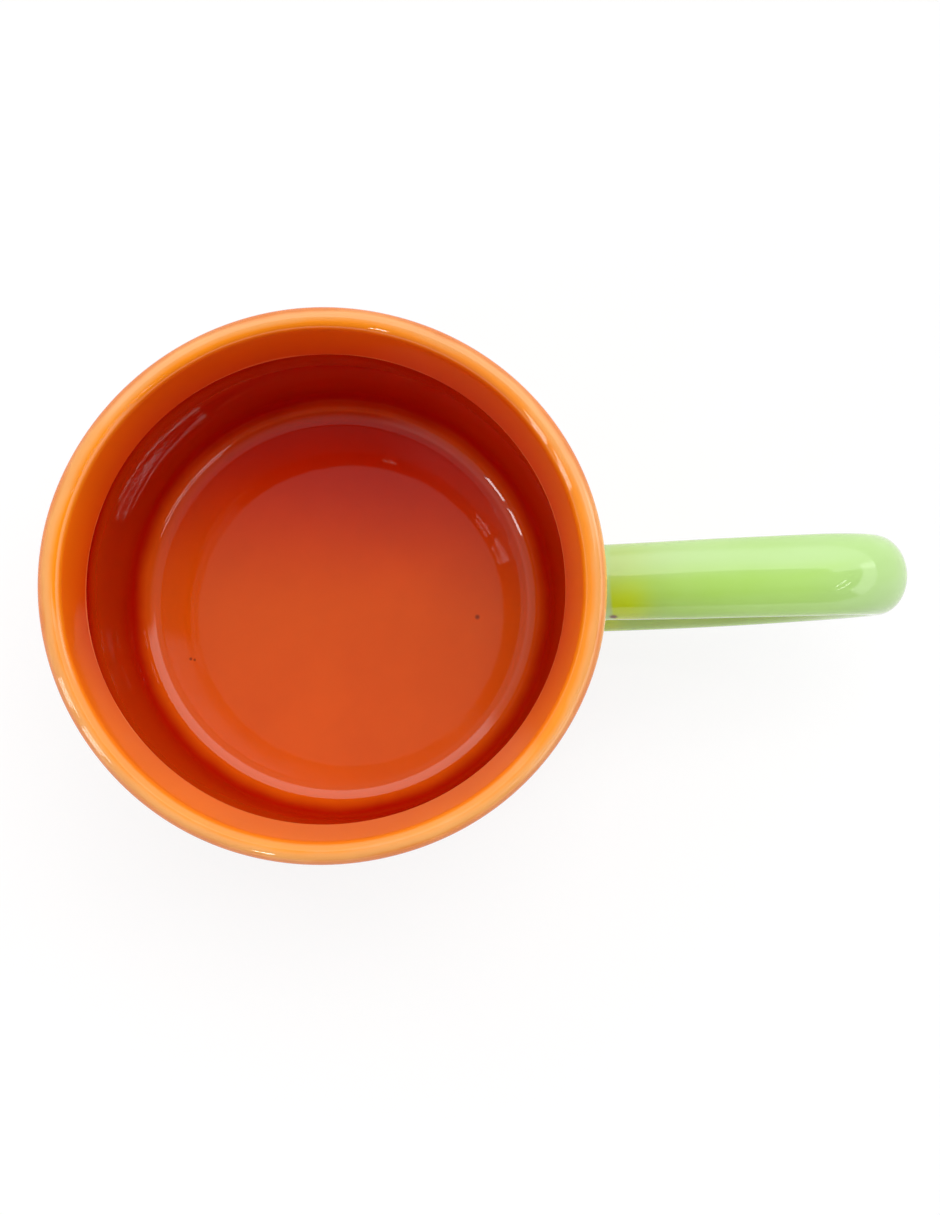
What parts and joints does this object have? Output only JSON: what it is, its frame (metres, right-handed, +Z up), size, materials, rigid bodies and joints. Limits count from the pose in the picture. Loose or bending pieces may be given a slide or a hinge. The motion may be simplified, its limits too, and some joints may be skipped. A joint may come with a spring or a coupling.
{
  "type": "mug",
  "caption": "Rounded clay mug with a flared lip, narrow neck, raw clay foot ring and a looped side handle, glazed inside and out in two colours.",
  "frame": {"origin": "on the vessel's axis, in the plane that the foot ring stands on", "axes": "+Z up along the vessel's axis, +X from the axis out through the handle, +Y across the handle"},
  "size_m": [0.1442, 0.093, 0.082],
  "materials": {
    "clay": "matt fired earthenware",
    "slip": "matt fired slip",
    "orange_glaze": "gloss",
    "green_glaze": "gloss"
  },
  "bodies": {
    "root": {"body": "clay", "handle": "clay", "upper_handle_joint": "slip", "lower_handle_joint": "slip", "inner_glaze": "orange_glaze", "outer_glaze": "orange_glaze", "handle_glaze": "green_glaze"}
  },
  "joints": []
}
